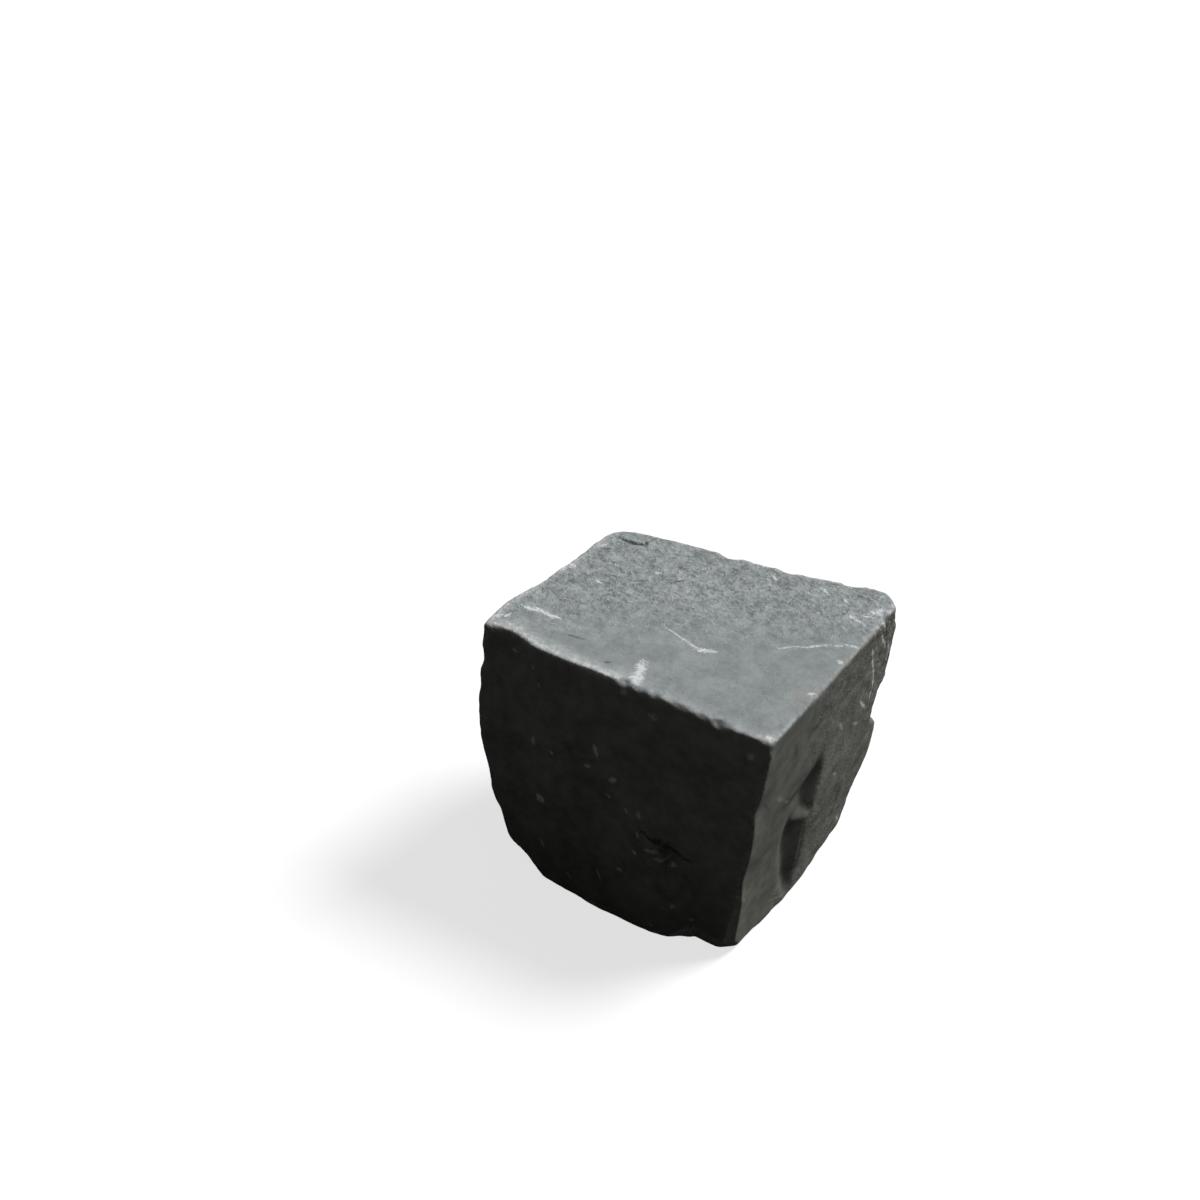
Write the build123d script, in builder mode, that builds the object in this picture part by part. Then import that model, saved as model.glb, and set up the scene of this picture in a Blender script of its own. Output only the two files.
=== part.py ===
from build123d import *
import math
import os

# Basalt cobblestone: one hewn cube of paving stone, split on five sides and resting on its
# flattened bed. Millimetres, +Z up. The origin is the centre of the bed, -Y is the side with the
# ledge, and +X is the side with the two shell-shaped scars.

# Driving dimensions
height = 100.0
rough_width = 150.0
rough_depth = 140.0
rough_height = 115.0
grid_step = 11.0
grid_reach = 7
waste_depth = 45.0

# Each split side is a leaning plane with low swells on it. The plane is its reach from the
# stone's middle, and how much that grows for each millimetre along and up the side. A swell is
# its place along and up the side, how wide and how tall it spreads, and how far it stands proud.
top_plane = {"reach": 99.6, "along": 0.0, "up": 0.0}
top_swells = [(-12, -1, 34, 26, 0.4), (44, -37, 16, 14, -0.6), (30, 27, 24, 18, 0.3)]
front_plane = {"reach": 43.4, "along": 0.0, "up": 0.044}
front_swells = [
    (9, -5, 42, 55, 5.8),
    (-40, 55, 22, 26, 1.2),
    (38, 84, 18, 15, 0.6),
    (-44, 101, 9, 11, -3.4),
]
right_plane = {"reach": 45.9, "along": 0.0, "up": 0.096}
right_swells = [
    (5, 40, 35, 42, 4.0),
    (-33, 52, 16, 22, -0.8),
    (31, 8, 22, 18, -1.0),
    (2, -2, 20, 14, 1.0),
]
back_plane = {"reach": 34.1, "along": 0.21, "up": 0.0}
back_swells = [
    (46, 33, 22, 17, 4.6),
    (40, -6, 60, 24, -6.5),
    (-28, 80, 26, 42, 3.6),
    (45, 97, 10, 14, 1.6),
]
left_plane = {"reach": 48.4, "along": -0.138, "up": 0.0}
left_swells = [
    (11, 44, 26, 28, 2.6),
    (5, -6, 50, 26, -6.0),
    (-50, 94, 13, 22, -2.4),
    (-34, 98, 12, 20, 0.8),
    (18, 98, 12, 18, 1.2),
]

# The flake that left the front side: the foot of its hinge ledge, across and up the side, the
# floor's reach, how much the floor grows across and up, how far out the cut runs past the side's
# other edges, and the way that the ledge's wall runs from its foot out to its lip
ledge_points = [(-17, 74), (0, 55), (10, 46), (20, 36), (26, 20), (28, -8)]
floor_reach = 41.6
floor_across = 0.02
floor_lean = 0.06
flake_depth = 18.0
flake_left = -60.0
flake_right = 80.0
flake_top = 120.0
wall_run = (-0.6, -1.0, -0.6)

# The two shell-shaped scars on the right side. Each rim corner is its place along and up the
# side, and the slope of the wall that starts there. They run clockwise as seen from outside.
shell_scars = [
    [(-4.6, 69, 0.66), (-5, 55.5, 0.7), (-8.5, 43.5, 0.5), (-20, 45, 0.35), (-27, 56, 0.32)],
    [(-22, 54.5, 0.42), (-10.5, 41, 0.64), (-4.2, -2, 0.25), (-13, -2, 0.35), (-25, 12, 0.3),
     (-29, 38, 0.35)],
]
scar_box = 70.0

# Flat breaks: a point on each and its outward slope. The first two took the lower front left
# corner off, and the others blunt the corners.
corner_breaks = [
    {"point": (-52.3, -47.1, 47.0), "slope": (-1.0, -0.55, -0.30)},
    {"point": (-40.2, -46.3, 13.3), "slope": (-1.0, -0.45, -1.05)},
    {"point": (52.0, 43.2, 98.2), "slope": (0.75, 0.85, 0.30)},
    {"point": (-44.8, 23.9, 99.9), "slope": (-0.8, 0.75, 0.55)},
    {"point": (-53.1, -46.5, 99.0), "slope": (-0.8, -0.7, 0.6)},
    {"point": (44.9, -41.6, 3.3), "slope": (0.7, -0.8, -0.75)},
]

# Spalls along the arrises: the two ends of each arris, the axis that it is measured along, and
# for each bite its place there, its half width and its depth
arrises = [
    {"ends": ((-49.5, -47.8, 99.6), (50.5, -48.2, 99.6)), "axis": 0,
     "bites": [(-16, 5, 0.4), (3, 4, 1.3), (24, 7, 0.6), (37, 5, 0.5)]},
    {"ends": ((55.5, -40.9, 99.6), (55.5, 37.1, 99.6)), "axis": 1,
     "bites": [(18, 4, 0.5), (30, 5, 1.0)]},
    {"ends": ((-41.5, 27.5, 99.6), (48.5, 45.5, 99.6)), "axis": 0,
     "bites": [(-5, 5, 1.7), (17, 4, 1.1), (38, 4, 1.4)]},
    {"ends": ((-53.5, -38.9, 99.6), (-46.4, 19.1, 99.6)), "axis": 1,
     "bites": [(-14, 6, 1.0), (4, 5, 0.7)]},
    {"ends": ((54.9, -47.5, 90), (47.1, -44.1, 12)), "axis": 2,
     "bites": [(70, 7, 0.8), (36, 6, 0.8)]},
    {"ends": ((52.9, 45.4, 64), (52.5, 45.2, 52)), "axis": 2,
     "bites": [(57, 12, 3.8)]},
]


def reach_at(plane, swells, along, up):
    """How far a side stands from the stone's middle: its plane, and a smooth bell per swell."""
    out = plane["reach"] + plane["along"] * along + plane["up"] * up
    for at_along, at_up, wide, tall, proud in swells:
        out += proud * math.exp(-(((along - at_along) / wide) ** 2) - ((up - at_up) / tall) ** 2)
    return out


def split_face(plane, swells, rise, place):
    """A gently swelling split surface through a grid of points along and up the side."""
    rows = []
    for j in range(-grid_reach, grid_reach + 1):
        row = []
        for i in range(-grid_reach, grid_reach + 1):
            along = i * grid_step
            up = rise + j * grid_step
            row.append(place(along, up, reach_at(plane, swells, along, up)))
        rows.append(row)
    return Face.make_surface_from_array_of_points(rows, tol=0.02)


def on_right_side(along, up):
    """The point of the right side at a place along and up it."""
    return Vector(reach_at(right_plane, right_swells, along, up), along, up)


def scar_hollow(rim):
    """The chip that left a scar: a block cut down by one leaning wall from each line of the rim.
    A wall dips under the side by its slope for each millimetre in from the rim."""
    middle_along = sum(along for along, up, slope in rim) / len(rim)
    middle_up = sum(up for along, up, slope in rim) / len(rim)
    with BuildPart() as chip:
        with Locations(on_right_side(middle_along, middle_up)):
            Box(scar_box, scar_box, scar_box)
        for start, end in zip(rim, rim[1:] + rim[:1]):
            start_point = on_right_side(start[0], start[1])
            run = (on_right_side(end[0], end[1]) - start_point).normalized()
            inward = run.cross(Vector(1, 0, 0)).normalized()
            dip = inward - Vector(start[2], 0, 0)
            split(bisect_by=Plane(origin=start_point, z_dir=dip.cross(run)), keep=Keep.TOP)
    return chip.part


def spall(arris, at, half_width, depth):
    """A bite off an arris: the place on it, the way out, and the ball that takes the bite."""
    start = Vector(*arris["ends"][0])
    run = Vector(*arris["ends"][1]) - start
    first = arris["ends"][0][arris["axis"]]
    last = arris["ends"][1][arris["axis"]]
    place = start + run * ((at - first) / (last - first))
    outward = Vector(place.X, place.Y, place.Z - height / 2).normalized()
    radius = half_width ** 2 / (2 * depth) + depth / 2
    return place + outward * (radius - depth), radius


middle_height = height / 2
split_sides = [
    (split_face(top_plane, top_swells, 0, lambda u, v, out: (u, v, out)), (0, 0, 1)),
    (split_face(front_plane, front_swells, middle_height, lambda u, v, out: (u, -out, v)), (0, -1, 0)),
    (split_face(right_plane, right_swells, middle_height, lambda u, v, out: (out, u, v)), (1, 0, 0)),
    (split_face(back_plane, back_swells, middle_height, lambda u, v, out: (u, out, v)), (0, 1, 0)),
    (split_face(left_plane, left_swells, middle_height, lambda u, v, out: (-out, u, v)), (-1, 0, 0)),
]
hollows = [scar_hollow(rim) for rim in shell_scars]

with BuildPart() as cobblestone:
    # The rough block, larger than the stone all round and flat on its bed
    with BuildSketch(Plane.XY) as rough_outline:
        Rectangle(rough_width, rough_depth)
    extrude(amount=rough_height)

    # The five split sides: the waste outside each swelling surface comes away
    for surface, outward in split_sides:
        extrude(surface, amount=waste_depth, dir=outward, mode=Mode.SUBTRACT)

    # The flake lost from the front side: a clean leaning floor, and a hinge ledge whose wall leans
    flake_floor = Plane(
        origin=(0, -floor_reach, 0),
        x_dir=(1, -floor_across, 0),
        z_dir=(-floor_across, -1, -floor_lean),
    )
    with BuildSketch(flake_floor) as flake_outline:
        with BuildLine():
            ledge = Spline(*ledge_points)
            Polyline(
                ledge @ 1,
                (flake_right, ledge_points[-1][1]),
                (flake_right, flake_top),
                (flake_left, flake_top),
                ledge @ 0,
            )
        make_face()
    extrude(amount=flake_depth, dir=wall_run, mode=Mode.SUBTRACT)

    # The two shell-shaped scars on the right side
    for hollow in hollows:
        add(hollow, mode=Mode.SUBTRACT)

    # The broken and blunted corners
    for broken in corner_breaks:
        split(bisect_by=Plane(origin=broken["point"], z_dir=broken["slope"]), keep=Keep.BOTTOM)

    # The small spalls along the arrises, left by the hammer
    for arris in arrises:
        for at, half_width, depth in arris["bites"]:
            centre, radius = spall(arris, at, half_width, depth)
            with Locations(centre):
                Sphere(radius, mode=Mode.SUBTRACT)

cobblestone.part.label = "cobblestone"
print("volume", cobblestone.part.volume, cobblestone.part.bounding_box())

os.makedirs("parts", exist_ok=True)
export_step(cobblestone.part, "parts/cobblestone.step")
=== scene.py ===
# %% [markdown]
# # A hewn basalt cobblestone
# The real thing is one lump of basalt, split on five sides with a hammer and a chisel and laid on
# its flattest side. Its look is all in the break: pale bruised grains on the head, dark clean
# sides, arrises that crumble, and a few scars. The solid model gives the main planes. Here the
# same planes get the fine relief of the break, and the stone gets its finish, floor and light.

# %% The solid frame
import math

import bpy
import numpy as np
from mathutils import Matrix, Vector


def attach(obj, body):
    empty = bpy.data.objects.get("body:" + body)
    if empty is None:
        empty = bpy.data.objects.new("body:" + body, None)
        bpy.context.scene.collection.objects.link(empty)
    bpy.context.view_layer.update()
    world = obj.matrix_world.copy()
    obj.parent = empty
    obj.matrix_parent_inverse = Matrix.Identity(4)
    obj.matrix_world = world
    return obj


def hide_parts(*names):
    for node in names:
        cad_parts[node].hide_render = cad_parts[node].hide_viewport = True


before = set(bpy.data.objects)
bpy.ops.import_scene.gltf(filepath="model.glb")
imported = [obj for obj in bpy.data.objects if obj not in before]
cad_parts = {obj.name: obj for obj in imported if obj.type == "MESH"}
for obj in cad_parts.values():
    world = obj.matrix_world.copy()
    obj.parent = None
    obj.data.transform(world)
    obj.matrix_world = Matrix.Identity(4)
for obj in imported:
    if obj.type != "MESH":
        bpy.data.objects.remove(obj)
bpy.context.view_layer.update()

# %% [markdown]
# ## The five split sides
# A split side is nearly a plane, but the break wanders. Each side is written as its reach: how
# far it stands from the middle of the stone, how much that grows along and up the side, and a few
# low swells. A swell is a smooth bell: its place, how wide and tall it spreads, and how far it
# stands proud. These are the solid model's values in millimetres, with three small swells more, so
# the dressed stone and the solid stay together.

# %% The sides as reach and swells
MM = 0.001

SIDES = {
    "head": {
        "out": (0, 0, 1), "along": (1, 0, 0), "up": (0, 1, 0), "reach": 99.6, "grow": (0.0, 0.0),
        "swells": [(-12, -1, 34, 26, 0.4), (44, -37, 16, 14, -0.6), (30, 27, 24, 18, 0.3)],
    },
    "front": {
        "out": (0, -1, 0), "along": (1, 0, 0), "up": (0, 0, 1), "reach": 43.4, "grow": (0.0, 0.044),
        "swells": [(9, -5, 42, 55, 5.8), (-40, 55, 22, 26, 1.2), (38, 84, 18, 15, 0.6),
                   (-44, 101, 9, 11, -3.4)],
    },
    "right": {
        "out": (1, 0, 0), "along": (0, 1, 0), "up": (0, 0, 1), "reach": 45.9, "grow": (0.0, 0.096),
        "swells": [(5, 40, 35, 42, 4.0), (-33, 52, 16, 22, -0.8), (31, 8, 22, 18, -1.0),
                   (2, -2, 20, 14, 1.0), (-46, 68, 7, 6, -1.1), (-44, 36, 8, 7, -1.1)],
    },
    "back": {
        "out": (0, 1, 0), "along": (1, 0, 0), "up": (0, 0, 1), "reach": 34.1, "grow": (0.21, 0.0),
        "swells": [(46, 33, 22, 17, 4.6), (40, -6, 60, 24, -6.5), (-28, 80, 26, 42, 3.6),
                   (45, 97, 10, 14, 1.6), (46, 33, 10, 8, 1.8)],
    },
    "left": {
        "out": (-1, 0, 0), "along": (0, 1, 0), "up": (0, 0, 1), "reach": 48.4, "grow": (-0.138, 0.0),
        "swells": [(11, 44, 26, 28, 2.6), (5, -6, 50, 26, -6.0), (-50, 94, 13, 22, -2.4),
                   (-34, 98, 12, 20, 0.8), (18, 98, 12, 18, 1.2)],
    },
    "bed": {
        "out": (0, 0, -1), "along": (1, 0, 0), "up": (0, 1, 0), "reach": 0.0, "grow": (0.0, 0.0),
        "swells": [],
    },
}


def proud_of(side, points):
    """How far each point stands outside one side, in mm: its distance along the side's outward
    direction, less the side's reach there, which is a leaning plane plus one bell per swell."""
    along = points @ np.array(side["along"], float)
    up = points @ np.array(side["up"], float)
    reach = side["reach"] + side["grow"][0] * along + side["grow"][1] * up
    for at_along, at_up, wide, tall, proud in side["swells"]:
        reach = reach + proud * np.exp(-(((along - at_along) / wide) ** 2) - ((up - at_up) / tall) ** 2)
    return points @ np.array(side["out"], float) - reach


def smooth_max(values, blunt):
    """The largest of several numbers, rounded where two are close: blunt times the logarithm of
    the sum of each number's exponential over blunt."""
    top = np.max(values, axis=0)
    return top + blunt * np.log(np.sum([np.exp((value - top) / blunt) for value in values], axis=0))


print("sides:", ", ".join(SIDES))

# %% [markdown]
# ## Random relief that is the same each run
# Stone relief has no pattern, but it has sizes: swells of centimetres, steps of millimetres, grain
# under one. Gradient noise gives one size at a time. Space is cut into cubes, each corner gets a
# random slope, and the slopes are blended smoothly between the corners. The random slope comes
# from the corner's own counts, not from a dice roll, so the stone never changes.

# %% Gradient noise
# Large odd numbers that scatter the counts, and the gain that brings noise to about -1 to 1
SPREAD = np.array([73856093, 19349663, 83492791], np.uint32)
FOLD = np.uint32(2654435761)
SEED_STEP = 40503
TEN_BITS = np.uint32(1023)
NOISE_GAIN = 1.5


def corner_slopes(corners, seed):
    """A random slope, three numbers from -1 to 1, for each cube corner. The corner's counts are
    multiplied by large odd numbers, folded over twice, and cut into three groups of ten bits."""
    with np.errstate(over="ignore"):
        mixed = (corners.astype(np.uint32) * SPREAD).sum(axis=1, dtype=np.uint32)
        mixed = (mixed ^ np.uint32(seed * SEED_STEP)) * FOLD
        mixed = (mixed ^ (mixed >> np.uint32(15))) * FOLD
        mixed = mixed ^ (mixed >> np.uint32(13))
    bits = np.stack([mixed, mixed >> np.uint32(10), mixed >> np.uint32(20)], axis=1) & TEN_BITS
    return bits / (TEN_BITS / 2) - 1.0


def noise(points, size, seed):
    """Gradient noise from about -1 to 1 with features of one size in mm: the eight corner slopes
    times the way from each corner, blended by six t to the fifth less fifteen t to the fourth
    plus ten t cubed."""
    scaled = points / size
    base = np.floor(scaled)
    part = scaled - base
    blend = part**3 * (part * (part * 6 - 15) + 10)
    base = base.astype(np.int64)
    total = np.zeros(len(points))
    for corner in np.ndindex(2, 2, 2):
        corner = np.array(corner)
        share = np.prod(np.where(corner, blend, 1 - blend), axis=1)
        total += share * ((part - corner) * corner_slopes(base + corner, seed)).sum(axis=1)
    return NOISE_GAIN * total


def ridges(points, size, seed):
    """Noise folded at zero, so that it makes crests with sharp backs: one less twice its size."""
    return 1 - 2 * np.abs(noise(points, size, seed))


def steps(points, size, seed, edge):
    """Noise pressed flat above and below zero, so that it makes low terraces with narrow edges:
    the hyperbolic tangent of noise over the edge's share of it."""
    return np.tanh(noise(points, size, seed) / edge)


trial = noise(np.random.default_rng(1).uniform(-50, 50, (20000, 3)), 9.0, 4)
print(f"noise runs from {trial.min():.2f} to {trial.max():.2f}")

# %% [markdown]
# ## What the hammer took off
# Three kinds of loss shape this stone. A flake left the front side and stopped at a hinge, which
# leaves a ledge running down to the right. Two shell-shaped chips left the right side. The lower
# front left corner broke away along two planes that left knobs standing, and the other corners
# are blunt. Each loss is a number that is above zero where the stone is gone, and the largest of
# them all wins.

# %% The flake, the scars and the breaks
# The foot of the ledge across and up the front side, and how ragged it is: for two sizes in mm,
# how far the noise of that size moves it, and its seed
LEDGE = np.array([(-18, 74), (-2, 55), (8, 47), (19, 37), (23, 22), (21.5, -8)], float)
LEDGE_RAGGED = [(5, 1.2, 21), (2.2, 0.6, 22)]

# The flake's floor: its reach, how much that grows across and up the side, and a bell at the
# front right corner. Its wall: how steep it is at each height
FLAKE_REACH, FLAKE_ACROSS, FLAKE_LEAN = 41.6, 0.02, 0.06
FLAKE_TIP = (50, 99, 10, 18, 1.4)
WALL_HEIGHTS = (0, 20, 34, 46, 60, 74)
WALL_SLOPES = (0.55, 0.7, 2.2, 1.6, 0.35, 0.1)

# The scars: how rounded the creases between their walls are, and the corners of their rims
SCARS = [
    {"blunt": 0.35, "rim": [
        (-4.6, 69, 0.9), (-5, 55.5, 0.95), (-8.5, 43.5, 1.3), (-20, 45, 0.37), (-27, 56, 0.35)]},
    {"blunt": 0.55, "rim": [
        (-22, 54.5, 0.4), (-10.5, 41, 0.3), (-7, 25, 0.55), (-4.4, 2.5, 0.3), (-10, 2.5, 0.55),
        (-19, 16, 0.55), (-25.5, 38, 0.55)]},
]

# Flat breaks: a point on each, and its outward slope
BREAKS = [
    ((-52.3, -47.1, 47.0), (-1.0, -0.55, -0.30)),
    ((-40.2, -46.3, 13.3), (-1.0, -0.45, -1.05)),
    ((52.0, 43.2, 98.2), (0.75, 0.85, 0.30)),
    ((-44.8, 23.9, 99.9), (-0.8, 0.75, 0.55)),
    ((-53.1, -46.5, 99.0), (-0.8, -0.7, 0.6)),
    ((44.9, -41.6, 3.3), (0.7, -0.8, -0.75)),
]

# Knobs that stand proud of the breaks: a place, how far one spreads, and how proud it is
KNOBS = [
    ((-47.5, -46.5, 28.5), 5.5, 1.8),
    ((-41.0, -46.0, 12.0), 4.5, 2.3),
]


def right_of_ledge(points):
    """How far right of the ledge a point lies, in mm: its place across the side, less the
    ledge's place at that height, nudged by noise so that the ledge is ragged."""
    order = np.argsort(LEDGE[:, 1])
    ledge_x = np.interp(points[:, 2], LEDGE[order, 1], LEDGE[order, 0])
    right = points[:, 0] - ledge_x
    for size, far, seed in LEDGE_RAGGED:
        right = right - far * noise(points * (1, 0, 1), size, seed)
    return right


def gone_with_flake(points):
    """Above zero where the flake was. Its floor is a leaning plane with a low bell at the front
    right corner. Its wall falls from the ledge by a slope for each millimetre to the right, so a
    point is gone where it is above the floor and above the wall. The wall is steepest half way
    up the side, and fades out at the top."""
    across, up = points[:, 0], points[:, 2]
    slope = np.interp(up, WALL_HEIGHTS, WALL_SLOPES)
    floor = FLAKE_REACH + FLAKE_ACROSS * across + FLAKE_LEAN * up
    at_across, at_up, wide, tall, proud = FLAKE_TIP
    floor += proud * np.exp(-(((across - at_across) / wide) ** 2) - ((up - at_up) / tall) ** 2)
    above_wall = proud_of(SIDES["front"], points) + slope * right_of_ledge(points)
    return np.minimum(above_wall, -points[:, 1] - floor)


def gone_with_scar(points, scar):
    """Above zero in the hollow of a scar. Its rim is a polygon on the right side, given by its
    corners as y, z and the slope of the wall that starts at that corner. The hollow's depth is the
    smooth least of each wall's slope times the distance inside its rim line, and a point is gone
    where that depth is more than its own depth under the side."""
    corners = np.array(scar["rim"])
    depths = []
    for (y0, z0, slope), (y1, z1, _) in zip(corners, np.roll(corners, -1, axis=0)):
        length = math.hypot(y1 - y0, z1 - z0)
        inside = ((points[:, 1] - y0) * (z1 - z0) - (points[:, 2] - z0) * (y1 - y0)) / length
        depths.append(slope * inside)
    return proud_of(SIDES["right"], points) - smooth_max([-depth for depth in depths], scar["blunt"])


def gone_with_break(points, at, slope):
    """How far a point lies outside a flat break: along its slope from its plane, less the knobs
    that stand proud of it, each a bell round its place."""
    slope = np.array(slope) / np.linalg.norm(slope)
    outside = (points - np.array(at)) @ slope
    for place, spread, proud in KNOBS:
        outside = outside - proud * np.exp(-(((points - np.array(place)) / spread) ** 2).sum(axis=1))
    return outside


print("scars:", len(SCARS), " breaks:", len(BREAKS))

# %% [markdown]
# ## Arrises that crumble
# A split edge is never a line. The hammer leaves it blunt, and small bites have spalled off it.
# Along each arris a cut runs across the edge, leaning half on each of its two sides. Its depth is
# what changes: a little everywhere, more at the bites that the photo shows, and noise between.

# %% The arrises and their bites
# Each arris: its two sides, the axis that it runs along, how deep it is cut all along and how much
# noise deepens that, and its bites as their place along that axis, half width and depth
ARRISES = [
    {"sides": ("head", "front"), "axis": 0, "depth": 0.2, "rough": 1.1,
     "bites": [(1.5, 3.5, 2.1), (7.5, 3, 1.2), (13, 2.2, 1.7), (23, 5, 0.9), (30, 4, 0.8),
               (37.5, 4.5, 1.5), (-16, 5, 0.4), (54, 3, 1.0)]},
    {"sides": ("head", "right"), "axis": 1, "depth": 0.12, "rough": 0.2,
     "bites": [(30, 6, 0.7), (18, 4, 0.4), (24, 1.8, 0.8), (28.5, 1.6, 1.1), (33, 1.8, 1.3),
               (-47, 3, 0.8)]},
    {"sides": ("head", "back"), "axis": 0, "depth": 0.1, "rough": 0.6,
     "bites": [(-5, 5, 1.5), (17, 4, 1.0), (38, 4, 1.5), (-28, 4, 0.3)]},
    {"sides": ("head", "left"), "axis": 1, "depth": 0.15, "rough": 0.7,
     "bites": [(-14, 7, 0.7), (4, 6, 0.4)]},
    {"sides": ("front", "right"), "axis": 2, "depth": 0.3, "rough": 0.7,
     "bites": [(70, 7, 0.5), (36, 6, 0.6), (99, 4, 0.6)]},
    {"sides": ("right", "back"), "axis": 2, "depth": 0.3, "rough": 0.7,
     "bites": [(55, 11.5, 5.8), (84, 7, 0.7)]},
    {"sides": ("back", "left"), "axis": 2, "depth": 0.8, "rough": 1.0,
     "bites": [(70, 8, 1.8), (30, 10, 2.4)]},
    {"sides": ("left", "front"), "axis": 2, "depth": 0.4, "rough": 0.7,
     "bites": [(86, 5, 0.6), (74, 4, 0.5)]},
    {"sides": ("bed", "front"), "axis": 0, "depth": 0.05, "rough": 0.35,
     "bites": []},
    {"sides": ("bed", "right"), "axis": 1, "depth": 0.15, "rough": 0.4,
     "bites": [(-34, 10, 1.2), (26, 6, 0.5)]},
    {"sides": ("bed", "back"), "axis": 0, "depth": 0.9, "rough": 1.1,
     "bites": [(-20, 9, 1.5), (15, 7, 1.2)]},
    {"sides": ("bed", "left"), "axis": 1, "depth": 0.9, "rough": 1.1,
     "bites": [(-10, 9, 1.5), (14, 7, 1.2)]},
]
ROUGH_SIZE, FIRST_SEED = 5.0, 50


def cut_depths(points):
    """For each arris, how deep its cut lies under the sharp edge at each point, in mm: its own
    depth, plus each bite's dome (one less the square of the distance from its middle, in half
    widths), plus noise that only ever deepens it."""
    depths = []
    for number, arris in enumerate(ARRISES):
        place = points[:, arris["axis"]]
        rough = np.clip(noise(points, ROUGH_SIZE, FIRST_SEED + number), 0, 1)
        depth = arris["depth"] + arris["rough"] * rough
        for at, half_width, deep in arris["bites"]:
            depth = depth + deep * np.clip(1 - ((place - at) / half_width) ** 2, 0, 1)
        depths.append(depth)
    return depths


def outside_stone(points, depths, blunt):
    """Above zero outside the stone, below it inside, about in mm: the smooth largest of its six
    sides, its arris cuts, its breaks, its flake and its scars."""
    proud = {name: proud_of(side, points) for name, side in SIDES.items()}
    values = list(proud.values())
    for arris, depth in zip(ARRISES, depths):
        one, other = arris["sides"]
        values.append((proud[one] + proud[other]) / math.sqrt(2) + depth)
    values += [gone_with_break(points, at, slope) for at, slope in BREAKS]
    values.append(gone_with_flake(points))
    values += [gone_with_scar(points, scar) for scar in SCARS]
    return smooth_max(values, blunt)


print("arrises:", len(ARRISES), " bites:", sum(len(arris["bites"]) for arris in ARRISES))

# %% [markdown]
# ## One closed skin from six grids
# The stone's skin could be a subdivided cube pushed about, but then the grid would cross the
# arrises and blunt them unevenly. So the eight corners of the stone span six grids, and the grid
# lines run along the arrises. Every grid point is a direction from the middle of the stone, and
# the skin lies where that ray leaves the stone, found by halving the search again and again for
# all rays at once.

# %% Directions of the six grids
# Grid cells along each axis, how much their lines close up at the arrises, and the box in mm
GRID = {"x": 144, "y": 120, "z": 122}
CLOSING = 0.055
HEAD_HEIGHT = 100
MIDDLE = np.array([0.0, 0.0, HEAD_HEIGHT / 2])
CORNERS = {
    "low": [(-40, -44), (46, -43), (46, 34), (-42, 20)],
    "high": [(-55, -47), (55, -47), (56, 45), (-45, 24)],
}


def even_then_close(count):
    """Grid steps from 0 to 1 that close up towards both ends, where the arrises are: a straight
    run less a small sine of twice its turn."""
    run = np.linspace(0, 1, count + 1)
    return run - CLOSING * np.sin(2 * np.pi * run)


def box_points():
    """All grid points of the six sides on the eight-cornered box, and the four-point faces
    between them. Each side is a straight blend of its four corners by its two parameters."""
    low = np.array([(x, y, 0) for x, y in CORNERS["low"]], float)
    high = np.array([(x, y, HEAD_HEIGHT) for x, y in CORNERS["high"]], float)
    quads = [
        (high[0], high[1], high[2], high[3], "x", "y"),
        (low[3], low[2], low[1], low[0], "x", "y"),
        (low[0], low[1], high[1], high[0], "x", "z"),
        (low[1], low[2], high[2], high[1], "y", "z"),
        (low[2], low[3], high[3], high[2], "x", "z"),
        (low[3], low[0], high[0], high[3], "y", "z"),
    ]
    points, faces, start = [], [], 0
    for a, b, c, d, across, upward in quads:
        first, second = even_then_close(GRID[across]), even_then_close(GRID[upward])
        s, t = np.meshgrid(first, second, indexing="ij")
        s, t = s[..., None], t[..., None]
        grid = (1 - s) * (1 - t) * a + s * (1 - t) * b + s * t * c + (1 - s) * t * d
        number = start + np.arange(grid.shape[0] * grid.shape[1]).reshape(grid.shape[:2])
        ring = [number[:-1, :-1], number[1:, :-1], number[1:, 1:], number[:-1, 1:]]
        faces.append(np.stack(ring, axis=-1).reshape(-1, 4))
        points.append(grid.reshape(-1, 3))
        start += number.size
    return np.concatenate(points), np.concatenate(faces)


def welded(points, faces):
    """The same faces on points counted once: points that round to the same thousandth of a
    millimetre become one, so that the six grids close into one skin."""
    _, first, number = np.unique(np.round(points * 1000).astype(np.int64), axis=0,
                                 return_index=True, return_inverse=True)
    return points[first], number.reshape(-1)[faces]


box, quads = welded(*box_points())
rays = box - MIDDLE
rays /= np.linalg.norm(rays, axis=1, keepdims=True)
print("grid points:", len(box), " triangles:", 2 * len(quads))

# %% Where the rays leave the stone
# The search runs from NEAR to FAR mm from the middle. BLUNT is how rounded edges are, in mm
NEAR, FAR, HALVINGS = 15.0, 110.0, 24
BLUNT = 0.35


def skin_along(rays, depths, blunt):
    """The point where each ray from the middle leaves the stone. The gap between a point inside
    and one outside is halved until it is under a hundredth of a micrometre."""
    near = np.full(len(rays), NEAR)
    far = np.full(len(rays), FAR)
    for _ in range(HALVINGS):
        half = (near + far) / 2
        outside = outside_stone(MIDDLE + rays * half[:, None], depths, blunt) > 0
        far = np.where(outside, half, far)
        near = np.where(outside, near, half)
    return MIDDLE + rays * ((near + far) / 2)[:, None]


rough_skin = skin_along(rays, [np.zeros(len(rays))] * len(ARRISES), BLUNT)
depths = cut_depths(rough_skin)
skin = skin_along(rays, depths, BLUNT)
print("skin from", skin.min(axis=0).round(1), "to", skin.max(axis=0).round(1))

# %% [markdown]
# ## The relief of the break
# Basalt is fine grained, so it breaks in low terraces with thin edges, over slow waves, with a
# rough grain on top. The head is flatter and more granular than the sides, with short crooked
# crests. The relief moves each point of the skin along the stone's outward direction.

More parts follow.
